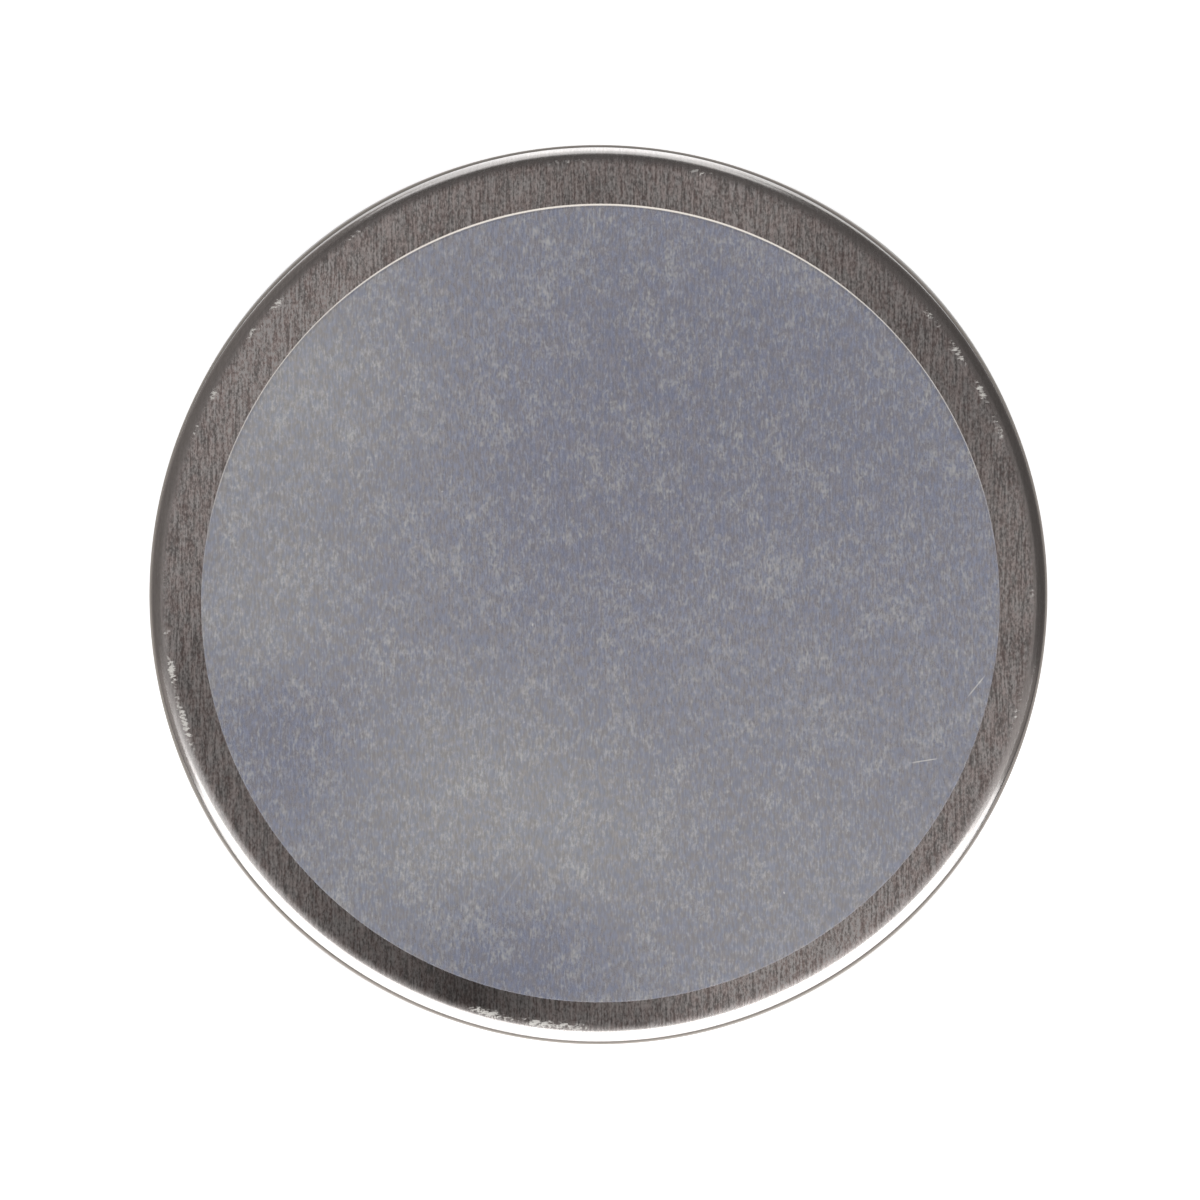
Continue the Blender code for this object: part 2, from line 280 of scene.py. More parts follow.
class Term:
    """A shader socket that can stand in a sum."""

    def __init__(self, nodes, socket):
        self.nodes = nodes
        self.socket = socket

    def math(self, operation, first, second):
        return self.nodes.node("Math", {0: first, 1: second}, operation=operation)

    def __add__(self, other):
        return self.math("ADD", self, other)

    def __sub__(self, other):
        return self.math("SUBTRACT", self, other)

    def __rsub__(self, other):
        return self.math("SUBTRACT", other, self)

    def __mul__(self, other):
        return self.math("MULTIPLY", self, other)

    def __rpow__(self, other):
        return self.math("POWER", other, self)

    def larger(self, other):
        return self.math("MAXIMUM", self, other)

    def __abs__(self):
        return self.larger(self * -1.0)

    def part(self, axis):
        return self.nodes.node("SeparateXYZ", {"Vector": self}, out=axis)

    def step(self, low, high):
        """The rise of ease, in a shader."""
        sockets = {"Value": self, "From Min": low, "From Max": high}
        return self.nodes.node("MapRange", sockets, interpolation_type="SMOOTHSTEP")

    __radd__ = __add__
    __rmul__ = __mul__


def headed(right, up, degrees):
    """The place (right, up) as its way along a heading and its way to the left of it."""
    cos, sin = math.cos(math.radians(degrees)), math.sin(math.radians(degrees))
    return right * cos + up * sin, up * cos - right * sin


class Nodes:
    """A tree of shader nodes that is written as sums of terms."""

    def __init__(self, owner):
        owner.use_nodes = True
        self.owner = owner
        self.tree = owner.node_tree

    def node(self, kind, sockets=None, out=0, **settings):
        made = self.tree.nodes.new("ShaderNode" + kind)
        for name, value in settings.items():
            setattr(made, name, value)
        for name, value in (sockets or {}).items():
            self.feed(made.inputs[name], value)
        return Term(self, made.outputs[out])

    def feed(self, socket, value):
        if isinstance(value, Term):
            self.tree.links.new(value.socket, socket)
        else:
            socket.default_value = value

    def mix(self, share, first, second):
        """One colour turning into another."""
        sockets = {0: share, 6: colour(first), 7: colour(second)}
        return self.node("Mix", sockets, out=2, data_type="RGBA")

    def brighten(self, tint, factor):
        """A colour times a number."""
        return self.node("VectorMath", {"Vector": tint, "Scale": factor}, operation="SCALE")

    def ray(self, name):
        """1 for rays of a kind, and 0 for the others."""
        return self.node("LightPath", out=f"Is {name} Ray")


class Finish(Nodes):
    """A material."""

    def __init__(self, name):
        super().__init__(bpy.data.materials.new(name))
        self.shader = self.tree.nodes["Principled BSDF"]

    def place(self, field=None):
        """A field of the piece's points, or else its object coordinates."""
        if field:
            return self.node("Attribute", out="Vector", attribute_name=field)
        return self.node("TexCoord", out="Object")

    def noise(self, place, per_mm, detail=2.0, roughness=0.5, turn=0.0):
        """Cloudy noise with so many features a millimetre along each axis, turned about Z by degrees."""
        if turn:
            rotation = (0, 0, math.radians(turn))
            place = self.node("Mapping", {"Vector": place, "Rotation": rotation})
        scale = tuple(value / MM for value in per_mm)
        place = self.node("Mapping", {"Vector": place, "Scale": scale})
        sockets = {"Vector": place, "Scale": 1.0, "Detail": detail, "Roughness": roughness}
        return self.node("TexNoise", sockets)

    def streaks(self, place, headings, across, along, keep):
        """Thin streaks in several headings: the crests, above keep, of noise that is long one way."""
        total = 0.0
        for heading in headings:
            crest = self.noise(place, (across, along, across), detail=1.0, turn=heading)
            total = total + crest.step(keep, keep + 0.06)
        return total

    def bump(self, height, depth):
        """A normal tilted by a height from 0 to 1 that stands for so many metres."""
        return self.node("Bump", {"Height": height, "Distance": depth, "Strength": 1.0})

    def surface(self, **values):
        """Sets sockets of the shader: base_color for Base Color, and so on. Returns the material."""
        for name, value in values.items():
            self.feed(self.shader.inputs[name.replace("_", " ").title()], colour(value))
        return self.owner


# %% [markdown]
# ## Rolled tinplate
#
# Tinplate is steel strip, rolled and then coated with tin. The rolls leave a fine straight grain, and drawing
# the blank into a cup carries the grain over the edge and down the wall. So the pattern reads the place that
# each point had in the flat blank, not its place in space. The grain is long noise: many features a
# millimetre across it and few along it. It tints the metal a little and tilts its surface.
#
# A second field holds the sheet's treatment, and painted sheen and shade. Its first number is 0 on the flat,
# 1 where the die drew the sheet over a bend and burnished it smooth, and 2 on the cut edge, which is dull
# bare
# steel. The second is painted light: listed soft spots that paint the lid's reflections lighter or darker,
# and a painted shade that darkens the walls, where they reflect the bright floor. The third tells how rubbed
# it is where other tins have knocked against it, which leaves pale specks and short strokes.

# %% Tinplate
def make_tinplate():
    tin = Finish("rolled tinplate")
    blank = tin.place("blank")
    treated_and_sheen = tin.place("treated_and_sheen")
    drawn, sheen, rubbed = treated_and_sheen.part("X"), treated_and_sheen.part("Y"), treated_and_sheen.part("Z")
    smooth, cut = drawn.step(0.0, 1.0), drawn.step(1.0, 2.0)
    grain = tin.noise(blank, (6.6, 2.8, 1.0), detail=4.0, roughness=0.75)
    lines = tin.noise(blank, (5.2, 0.38, 1.0), roughness=0.6)
    cloud = tin.noise(blank, (0.16, 0.1, 0.1))
    warmth = tin.noise(blank, (1.5, 0.7, 1.0), detail=4.0, roughness=0.7)
    scratch = tin.streaks(blank, (23.0, -64.0), 3.0, 0.05, 0.77)
    speck = tin.noise(blank, (2.4, 4.6, 1.0), detail=5.0, roughness=0.7) + rubbed * 0.3
    speck = speck.step(0.68, 0.78) * rubbed.step(0.2, 0.6)
    stroke = tin.streaks(blank, (-48.0, 12.0, 78.0), 3.4, 0.9, 0.7) * rubbed.step(0.1, 0.5)
    texture = grain * 0.62 + lines * 0.38
    tone = texture.step(0.395, 0.605)
    cool = tin.mix(tone, (0.324, 0.313, 0.308), (0.985, 0.968, 0.96))
    warm = tin.mix(tone, (0.386, 0.322, 0.307), (1.0, 0.926, 0.904))
    metal = tin.mix(warmth.step(0.38, 0.62), cool, warm)
    metal = tin.mix(smooth * 0.85, metal, (0.73, 0.705, 0.69))
    # sheen is painted light: spots of lighter or darker reflection on the lid, and painted shade on the walls
    metal = tin.brighten(metal, 0.955 + sheen + (cloud - 0.5) * 0.22)
    metal = tin.mix(cut, metal, (0.46, 0.42, 0.385))
    marks = (scratch * 0.3).larger(speck * 0.9).larger(stroke * 0.5)
    return tin.surface(
        base_color=tin.mix(marks, metal, (0.72, 0.7, 0.66)),
        metallic=1.0 - (cut * 0.85).larger(marks * 0.8),
        roughness=0.25 + texture * 0.1 - smooth * 0.06 + cut * 0.3 + marks * 0.2,
        normal=tin.bump(grain * (1.0 - smooth * 0.8), 0.006 * MM),
    )


tinplate = make_tinplate()
print("the tinplate has", len(tinplate.node_tree.nodes), "nodes")

# %% [markdown]
# ## The lid
#
# The lid is a shallow drawn cap: a flat top, a tight round shoulder, a plain skirt, and a hem. The hem is
# folded outwards and up, and leans in on the skirt. Seen from above, its cut edge is the thin grey line round
# the tin. It was rolled down more in some places than in others, so the outline isn't quite round.
#
# The top of such a thin lid is never dead flat, so a soft random field lifts and dips it by a few hundredths
# of a millimetre. That is too little to see as shape, but it bends the reflections.

# %% The lid's sizes and shape
SHEET = 0.23 * MM
SHOULDER_BEND = 1.15 * MM  # radius of the middle of the sheet, here and below
HEM_BEND = 0.195 * MM
HEM_HEIGHT = 1.5 * MM
HEM_LEAN = 0.05 * MM
HEM_WAVES = [(4, 10, -0.1), (2, 10, -0.07)]  # waves round the tin, their start in degrees, and their mm
EDGE_KEEPS = 0.67  # the share of the hem's waver that its cut edge doesn't follow
TIN_SEGMENTS = 288
LID_UNEVEN = 0.02 * MM
UNEVEN_WAVE = 24 * MM
EVEN_FROM, EVEN_TO = -1.5 * MM, 0.3 * MM  # the unevenness fades out here, counted from the flat's edge
# Painted sheen and shade: soft spots, as for patches, that paint the lid's reflections lighter or darker.
LID_PAINTED_SHEEN = [
    (-8, -30, 4.5, -0.41), (-16, -27, 7, -0.45), (-27, -15.5, 7, -0.25), (-31, -7, 4, -0.25),
    (2, -31, 4, -0.35), (16, -27, 7, 0.28), (-24, 19, 7, 0.22), (25, 19, 9, -0.25), (-2, 31, 8, -0.12),
]
SIDES_APART = 5 * MM  # the patterns of the sheet's two sides differ by this step in depth
# painted shade: the wall's metal is made darker, where it reflects the bright floor
WALL_PAINTED_SHADE = -0.3
WALL_FROM, WALL_TO = 1.5 * MM, 3 * MM  # the sheen of the wall sets in here, counted from the bend's start
RUB_OUT = 0.25 * MM
RUB_WIDTH = 0.2 * MM
RUB_INWARD = 0.3 * MM
LID_RUBS = [
    (255.5, 2.5, 1.0), (262, 1.5, 0.9), (266.5, 2, 0.9), (190, 1.2, 1.0), (185, 1, 0.6), (197, 3.5, 0.9),
    (158, 1.5, 0.7), (152.5, 1, 0.9), (142.5, 1.5, 0.7), (138, 1.2, 0.8), (124, 2, 0.6), (94, 5, 0.5),
    (76, 2, 0.6), (40, 2, 0.7), (34, 1.5, 0.9), (28, 1.2, 1.0), (22.5, 2, 0.7), (0, 1.5, 0.6), (344, 3, 0.6),
]

lid_low, lid_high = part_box("lid")
hem_middle = lid_high.x - SHEET / 2
skirt_middle = hem_middle - 2 * HEM_BEND
lid_flat = skirt_middle - SHOULDER_BEND


def lift_with_lid(points):
    """Adds the lid's unevenness to points on its top: a soft field that fades out at the shoulder."""
    radius, _ = polar(points)
    on_top = points[:, 2] > lid_high.z - SHOULDER_BEND
    share = (1 - ease(radius, lid_flat + EVEN_FROM, lid_flat + EVEN_TO)) * on_top
    points[:, 2] += LID_UNEVEN * ripple(points[:, :2], UNEVEN_WAVE, seed=5) * share


def form_lid(points):
    """Adds the lid's unevenness, and the hem's.

    The hem's outer sheet moves out by a sum of cosines round the tin, and its cut edge by a third of that.
    The skirt stays.
    """
    lift_with_lid(points)
    radius, angle = polar(points)
    wave = sum(size * np.cos(count * angle + math.radians(start)) for count, start, size in HEM_WAVES) * MM
    outer = ease(radius, skirt_middle + SHEET / 2, hem_middle - SHEET / 2)
    pressed = ease(points[:, 2], lid_low.z + SHEET, lid_low.z + HEM_HEIGHT)
    points[:, :2] *= (1 + wave * outer * (1 - EDGE_KEEPS * pressed) / np.maximum(radius, MM))[:, None]


def rubbed_edge(points, radius, rubs):
    """How rubbed the points near a circle are. A rub is (place, reach, strength), the first two in degrees.

    It gives strength * exp(-(a / reach) ** 2 / 2) at the angle a from its place, and fades off the circle
    in the same way, more slowly inwards.
    """
    away, angle = polar(points)
    away -= radius
    away /= np.where(away < 0, RUB_INWARD, RUB_WIDTH)
    total = np.zeros(len(points))
    for place, reach, strength in rubs:
        beside = (np.degrees(angle) - place + 180) % 360 - 180
        total += strength * np.exp(-((beside / reach) ** 2) / 2)
    return total * np.exp(-(away**2) / 2)


def make_shell(name, middle, bend_start, sheen=(), rubs=(), warp=None):
    """A turned sheet with its two fields. The bend to the wall starts at this length along the sheet."""
    outline, distance, side = sheet_outline(middle, SHEET)
    points, faces = turn_outline(outline, TIN_SEGMENTS)
    reach = per_point(distance, TIN_SEGMENTS)
    radius = np.maximum(polar(points)[0], 1e-9)
    sides = per_point(side, TIN_SEGMENTS) * SIDES_APART
    blank = np.column_stack([points[:, :2] * (reach / radius)[:, None], sides])
    drawn = ease(reach, bend_start - SHEET / 2, bend_start + 3 * SHEET)
    cut = ease(reach, distance.max() - SHEET / 2, distance.max())
    # Painted light: the listed spots of lighter or darker reflection fade out over the bend, and the wall
    # gets painted shade.
    painted_sheen_and_shade = patches(points, sheen) * (1 - ease(reach, bend_start, bend_start + MM))
    painted_sheen_and_shade += WALL_PAINTED_SHADE * ease(reach, bend_start + WALL_FROM, bend_start + WALL_TO)
    treated_and_sheen = np.column_stack([drawn + cut, painted_sheen_and_shade, rubbed_edge(points, bend_start + RUB_OUT, rubs)])
    if warp:
        warp(points)
    return make_piece(name, points, faces, {"blank": blank, "treated_and_sheen": treated_and_sheen})


top = lid_high.z - SHEET / 2
shoulder = (lid_flat, top - SHOULDER_BEND)
fold = (skirt_middle + HEM_BEND, lid_low.z + SHEET / 2 + HEM_BEND)
cut_edge = (hem_middle - HEM_LEAN, lid_low.z + HEM_HEIGHT)
near_edge = (lid_flat - 3 * MM, top)
lid_line = join(
    (0, top),
    run((0, top), near_edge, 26),
    run(near_edge, (lid_flat, top), 14),
    arc(shoulder, SHOULDER_BEND, 90, 0, 18),
    9,
    arc(fold, HEM_BEND, 180, 360, 16),
    5,
    cut_edge,
)
lid = make_shell("lid_shell", lid_line, lid_flat, LID_PAINTED_SHEEN, LID_RUBS, form_lid)
place_piece(lid, "lid", tinplate)

# %% [markdown]
# ## The base
#
# The base is drawn the same way, but its edge rolls inwards, so that the lid can slide over it. Its underside
# is set up in the middle: it stands on a flat ring, and stacks on the lid of the next tin. Two bends of the
# same radius make the step. The angle a that each turns through follows from the rise h and the radius r of
# the bends: h = 2 r (1 - cos a).

# %% The base
CORNER_BEND = 1.615 * MM
RIM_BEND = 0.3 * MM
FOOT_WIDTH = 2.6 * MM
PANEL_RISE = 0.8 * MM
PANEL_BEND = 0.6 * MM

base_low, base_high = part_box("tin_base")
wall_middle = base_high.x - SHEET / 2
floor_middle = base_low.z + SHEET / 2
foot_outer = wall_middle - CORNER_BEND
foot_inner = foot_outer - FOOT_WIDTH
step_angle = math.acos(1 - PANEL_RISE / (2 * PANEL_BEND))
step_degrees = math.degrees(step_angle)
panel_edge = foot_inner - 2 * PANEL_BEND * math.sin(step_angle)
panel = floor_middle + PANEL_RISE
corner = (foot_outer, floor_middle + CORNER_BEND)
rim = (wall_middle - RIM_BEND, base_high.z - SHEET / 2 - RIM_BEND)
base_line = join(
    (0, panel),
    16,
    arc((panel_edge, panel - PANEL_BEND), PANEL_BEND, 90, 90 - step_degrees, 8),
    arc((foot_inner, floor_middle + PANEL_BEND), PANEL_BEND, 270 - step_degrees, 270, 8),
    arc(corner, CORNER_BEND, 270, 360, 18),
    14,
    arc(rim, RIM_BEND, 0, 270, 24),
)
base = make_shell("base_shell", base_line, panel_edge + 2 * PANEL_BEND * step_angle + FOOT_WIDTH)
place_piece(base, "tin_base", tinplate)
print("the step of the base turns through", round(step_degrees, 1), "degrees")

# %% [markdown]
# ## The label
#
# The label is a disc of clear film. What shows is less the film than its glue: a thin haze over the metal, in
# places bluer and in places greyer, with small pale flecks where it follows the grain and hasn't wetted the
# tin, and soft clouds where it was pressed harder or less. The film is a thin closed disc that follows the
# lid's unevenness. Its finish is half see-through, and the haze, flecks and clouds change both its colour and
# its alpha.
#
# A field on the points holds what depends on place: how far in from the cut edge a point lies, how far up the
# label, and the clouds. The cut edge has a painted highlight, a fine pale line, strongest on its far side,
# with a little painted shade inside it.

# %% The label film
EDGE_BEVEL = 0.04 * MM
LABEL_CLOUDS = [
    (-25, 16, 7, 1.0), (-25, -1, 4.5, 0.7), (-11, -15, 6, 0.9), (-2, -18, 5, 0.8), (15, -22, 7, 0.4),
    (6, 18, 9, -0.9), (-1, 6, 6, -0.6), (-24, -10, 4, -0.7), (-6, -26, 4.5, -0.9), (23, 10, 9, -0.4),
]
LABEL_SCRATCHES = [(28.4, -6.9, 51, 2.4), (24.5, -12.5, 9, 2.3)]  # middle in mm, degrees, length in mm
SCRATCH_CORE, SCRATCH_REACH = 0.02 * MM, 0.06 * MM

label_low, label_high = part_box("lid_label")
label_radius = (label_high.x - label_low.x) / 2
film = label_high.z - label_low.z


def straight_scratch(place, x, y, heading, length):
    """1 on a straight thin line, which fades towards its ends, and 0 off it."""
    along, across = headed(place.part("X") - x * MM, place.part("Y") - y * MM, heading)
    faded = 1.0 - abs(along).step(length * 0.25 * MM, length * 0.5 * MM)
    return (1.0 - abs(across).step(SCRATCH_CORE, SCRATCH_REACH)) * faded


def make_film():
    haze = Finish("clear label film")
    place = haze.place()
    laid = haze.place("laid")
    inset, upper, cloud = laid.part("X"), laid.part("Y"), laid.part("Z")
    grain = haze.noise(place, (7.0, 1.3, 1.0), roughness=0.6)
    fleck = haze.noise(place, (4.4, 2.4, 1.0), detail=4.0, roughness=0.75)
    patch = haze.noise(place, (0.34, 0.26, 1.0))
    cluster = haze.noise(place, (1.2, 0.8, 1.0), detail=3.0, roughness=0.6)
    flecks = (fleck * 0.8 + cluster * 0.45 + patch * 0.2 + grain * 0.35).step(0.86, 1.17)
    crease = haze.noise(place, (1.3, 1.1, 1.0), detail=3.0) - 0.5
    wisps = (1.0 - (crease * crease).step(0.0, 0.0006)) * patch.step(0.5, 0.62)
    speck = haze.noise(place, (1.9, 1.5, 1.0)).step(0.77, 0.84) * 0.8
    scratch = haze.streaks(place, (35.0,), 3.0, 0.07, 0.80)
    for line in LABEL_SCRATCHES:
        scratch = scratch.larger(straight_scratch(place, *line))
    hue = haze.noise(place, (2.4, 1.3, 1.0), detail=3.0, roughness=0.7).step(0.38, 0.62)
    thin = haze.mix(hue, (0.318, 0.343, 0.462), (0.34, 0.331, 0.378))
    thick = haze.mix(hue, (0.388, 0.403, 0.464), (0.412, 0.393, 0.39))
    veil = haze.mix(cloud.step(-0.9, 1.1), thin, thick)
    veil = haze.brighten(veil, 0.88 + grain.step(0.3, 0.7) * 0.2)
    veil = haze.mix(flecks + wisps * 0.3, veil, (0.57, 0.565, 0.56))
    veil = haze.brighten(veil, 1.0 + cloud * 0.06)
    marks = speck.larger(scratch * 0.6)
    veil = haze.mix(marks, veil, (0.85, 0.82, 0.76))
    # Painted light on the cut edge: a pale highlight line, strongest on the far side, and painted shade just
    # inside it.
    far_side = upper.step(0.6, 1.0)
    painted_edge_light = 0.05 + upper.step(0.0, 0.6) * 0.6 + far_side * 0.35
    painted_edge_highlight = (1.0 - (inset - far_side * 0.07).step(0.03, 0.11)) * painted_edge_light
    painted_edge_shade = (1.0 - inset.step(0.2, 0.34)) * painted_edge_light
    veil = haze.brighten(veil, 1.0 - painted_edge_shade * 0.2)
    return haze.surface(
        base_color=haze.mix(painted_edge_highlight, veil, (1.0, 0.93, 0.85)),
        alpha=0.47 + flecks * 0.07 + cloud * 0.05 + marks * 0.3 + painted_edge_highlight * 0.5,
        roughness=0.5,
        normal=haze.bump(grain, 0.003 * MM),
    )


edge = label_radius - EDGE_BEVEL
label_outline = join(
    (0, film),
    40,
    arc((edge, film - EDGE_BEVEL), EDGE_BEVEL, 90, 0, 5),
    arc((edge, EDGE_BEVEL), EDGE_BEVEL, 0, -90, 5),
    20,
    (0, 0),
)
points, faces = turn_outline(label_outline, TIN_SEGMENTS)
inset = label_radius - polar(points)[0]
laid = np.column_stack([inset / MM, points[:, 1] / label_radius, patches(points, LABEL_CLOUDS)])
points += foot_of(label_low, label_high)
lift_with_lid(points)
label = make_piece("label_film", points, faces, {"laid": laid})
place_piece(label, "lid_label", make_film())

# %% [markdown]
# ## Coir pellets
#
# A pellet is coconut fibre and dust, pressed hard into a tablet with a hole for the seeds in its top. Its
# fibres lie in every direction. The shape is turned from a rounded profile, then pushed in a little along its
# normals: soft ridges, where a field crosses zero, stand for bundles of fibre. The finish adds single fibres
# as thin light streaks over dark dust.

# %% Coir and its tablets
NET = 0.2 * MM
NET_GAP = 0.1 * MM
NET_CORNER = 1.3 * MM
HOLE_RADIUS = 2.8 * MM
HOLE_DEPTH = 2.6 * MM
HOLE_CHAMFER = 0.8 * MM
HOLE_LIP = 0.4 * MM
COIR_RELIEF = 0.14 * MM
COIR_SEGMENTS = 160


def make_coir():
    coir = Finish("pressed coir")
    place = coir.place()
    dust = coir.noise(place, (2.2, 2.2, 2.2), detail=5.0, roughness=0.7)
    fibres = coir.streaks(place, (12.0, 71.0, 130.0), 3.6, 0.32, 0.62)
    patch = coir.noise(place, (0.3, 0.3, 0.3))
    ground = coir.mix(dust.step(0.34, 0.66), (0.05, 0.024, 0.013), (0.17, 0.085, 0.042))
    ground = coir.mix(patch.step(0.4, 0.6) * 0.4, ground, (0.2, 0.11, 0.055))
    return coir.surface(
        base_color=coir.mix(fibres * 0.75, ground, (0.36, 0.21, 0.11)),
        roughness=0.85 + dust * 0.15,
        normal=coir.bump(dust + fibres * 0.25, 0.25 * MM),
    )


def tablet_outline(radius, top):
    """Outline of the tablet: from the hole's floor, up its wall, over the top and down to the underside."""
    floor = top - HOLE_DEPTH
    corner = NET_CORNER - NET - NET_GAP
    return join(
        (0, floor),
        4,
        arc((HOLE_RADIUS - HOLE_CHAMFER, floor + HOLE_CHAMFER), HOLE_CHAMFER, -90, 0, 5),
        5,
        arc((HOLE_RADIUS + HOLE_LIP, top - HOLE_LIP), HOLE_LIP, 180, 90, 5),
        24,
        arc((radius - corner, top - corner), corner, 90, 0, 8),
        18,
        arc((radius - corner, corner), corner, 0, -90, 8),
        20,
        (0, 0),
    )


def press_in(points, outline, segments, seed):
    """Moves each point of a turned body inwards by a relief that is least where two soft fields are zero."""
    relief = 0.5 * np.abs(ripple(points, 2.6 * MM, seed)) + 0.5 * np.abs(ripple(points, 1.1 * MM, seed + 1))
    push = -COIR_RELIEF * np.clip(relief, 0, 1.6) / 1.6
    _, left = sideways(outline)
    _, angle = polar(points)
    outwards, upwards = per_point(left[:, 0], segments), per_point(left[:, 1], segments)
    outwards[-2:] = 0
    normal = np.column_stack([outwards * np.cos(angle), outwards * np.sin(angle), upwards])
    return points + normal * push[:, None]


coir_finish = make_coir()
for k in (1, 2, 3):
    low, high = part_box(f"coir_pellet_{k}")
    outline = tablet_outline((high.x - low.x) / 2, high.z - low.z)
    points, faces = turn_outline(outline, COIR_SEGMENTS)
    points = press_in(points, outline, COIR_SEGMENTS, 20 * k) + foot_of(low, high)
    place_piece(make_piece(f"coir_tablet_{k}", points, faces), f"coir_pellet_{k}", coir_finish)

# %% [markdown]
# ## Net sleeves
#
# Each tablet sits in a sleeve of thin bonded fibre, a cup drawn up round it and gathered over its top edge,
# with a mouth over the hole. The cloth was cut as a strip, so where the cup closes in, the spare width lies
# in pleats. They are waves round the axis that grow towards the mouth, with uneven spacing, because the angle
# is stretched by a slower wave first. The leaflet above leaves them little height, so a field hands the waves
# on to the finish, which deepens them with bump and with painted shade in their troughs. The finish is a web
# of fibres with gaps between them, made with alpha.

# %% Nets
NET_MOUTH = 7.5 * MM
PLEATS = 17
PLEAT_HEIGHT = 0.24 * MM
PLEAT_DRIFT = 0.12  # how far the pleats are moved round, in radians
MOUTH_WAVER = 0.035
NET_SEGMENTS = 340


def make_web():
    web = Finish("bonded fibre net")
    place = web.place()
    pleat = web.place("pleat").part("X")
    strands = web.streaks(place, (8.0, 52.0, 99.0, 146.0), 2.6, 0.22, 0.5)
    fuzz = web.noise(place, (6.0, 6.0, 6.0))
    patch = web.noise(place, (0.7, 0.7, 0.7))
    tone = web.mix(patch.step(0.35, 0.65), (0.52, 0.41, 0.28), (0.72, 0.6, 0.44))
    # painted shade: the net is darker in the pleats' troughs
    tone = web.brighten(tone, 0.7 + pleat.step(-0.8, 0.5) * 0.3)
    return web.surface(
        base_color=web.mix(fuzz.step(0.4, 0.7) * 0.5, tone, (0.8, 0.7, 0.56)),
        alpha=0.45 + (strands + fuzz * 0.4).step(0.25, 0.6) * 0.55,
        roughness=0.8,
        sheen_weight=0.3,
        normal=web.bump(strands * 0.3 + fuzz * 0.4 + pleat * 1.5, 0.12 * MM),
    )


def gather(points, top, flat_edge, seed):
    """Lifts the points on the top by the pleats, and returns their wave at each point, from -1 to 1."""
    radius, angle = polar(points)
    wave = np.sin(PLEATS * (angle + PLEAT_DRIFT * np.sin(3 * angle + seed)))
    growth = ease(flat_edge - radius, -0.6 * MM, flat_edge - NET_MOUTH) * (points[:, 2] > top - 1.2 * MM)
    points[:, 2] += growth * PLEAT_HEIGHT * (0.5 + 0.5 * wave)
    points[:, :2] *= (1 + growth * MOUTH_WAVER * np.sin(5 * angle + 2 * seed))[:, None]
    return growth * wave


web_finish = make_web()
for k in (1, 2, 3):
    low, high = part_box(f"pellet_net_{k}")
    side, height, corner = (high.x - low.x) / 2 - NET / 2, high.z - low.z, NET_CORNER - NET / 2
    line = join(
        (0, NET / 2),
        10,
        arc((side - corner, NET_CORNER), corner, 270, 360, 8),
        8,
        arc((side - corner, height - NET_CORNER), corner, 0, 90, 8),
        14,
        (NET_MOUTH, height - NET / 2),
    )
    outline, _, _ = sheet_outline(line, NET)
    points, faces = turn_outline(outline, NET_SEGMENTS)
    pleat = gather(points, height, side - corner, k)
    points += foot_of(low, high)
    net = make_piece(f"net_sleeve_{k}", points, faces, {"pleat": np.stack([pleat, pleat, pleat], 1)})
    place_piece(net, f"pellet_net_{k}", web_finish)
    area = sum(face.area for face in net.data.polygons) / 2
    strip = (math.tau * side, area / (math.tau * side))
    print(net.name, "was cut as a strip of", [round(value / MM, 1) for value in strip], "mm")

# %% [markdown]
# ## The leaflet
#
# The leaflet is one strip of paper folded to and fro, so its cross-section is one long line with round folds
# at alternate ends. The line gets the paper's thickness, is carried straight across, and is capped by quads
# between the two sides of the paper. Folded paper springs up in its middle, so each panel arches a little
# more than the one below it.

# %% Paper and the leaflet
PAPER_ROOM = 3.0 * MM
LEAFLET_PANELS = 4
LEAFLET_POINTS = 40
LEAFLET_PAPER = 0.12 * MM
LEAFLET_SPRING = 0.22 * MM
LEAFLET_TURN = -9.0
LEAFLET_ARCH = 0.05 * MM

mouth_radius = wall_middle - 2 * RIM_BEND - SHEET / 2
paper_reach = mouth_radius - PAPER_ROOM


def make_paper(name, dark, light, fleck_tint, flecks):
    """Uncoated paper: cloudy pulp, short fibres that show as flecks, and a soft tooth."""
    paper = Finish(name)
    place = paper.place()
    pulp = paper.noise(place, (0.9, 0.9, 0.9), detail=4.0, roughness=0.65)
    tooth = paper.noise(place, (7.0, 7.0, 7.0))
    fibres = paper.streaks(place, (17.0, 80.0, 140.0), 3.4, 0.5, 0.66)
    ground = paper.mix(pulp.step(0.3, 0.7), dark, light)
    return paper.surface(
        base_color=paper.mix(fibres * flecks, ground, fleck_tint),
        roughness=0.75 + tooth * 0.2,
        normal=paper.bump(tooth * 0.6 + pulp * 0.4, 0.02 * MM),
    )


def folded_line(side, pitch):
    """The folded strip from its lower end to its upper end: panels joined by half circles."""
    fold = pitch / 2
    reach = side / 2 - fold - LEAFLET_PAPER / 2
    stretches = [(-reach, 0), LEAFLET_POINTS]
    for k in range(LEAFLET_PANELS - 1):
        way, bend = (-1, (270, 90)) if k % 2 else (1, (-90, 90))
        stretches += [arc((way * reach, k * pitch + fold), fold, *bend, 9), LEAFLET_POINTS]
    return join(*stretches, (-way * reach, (LEAFLET_PANELS - 1) * pitch))


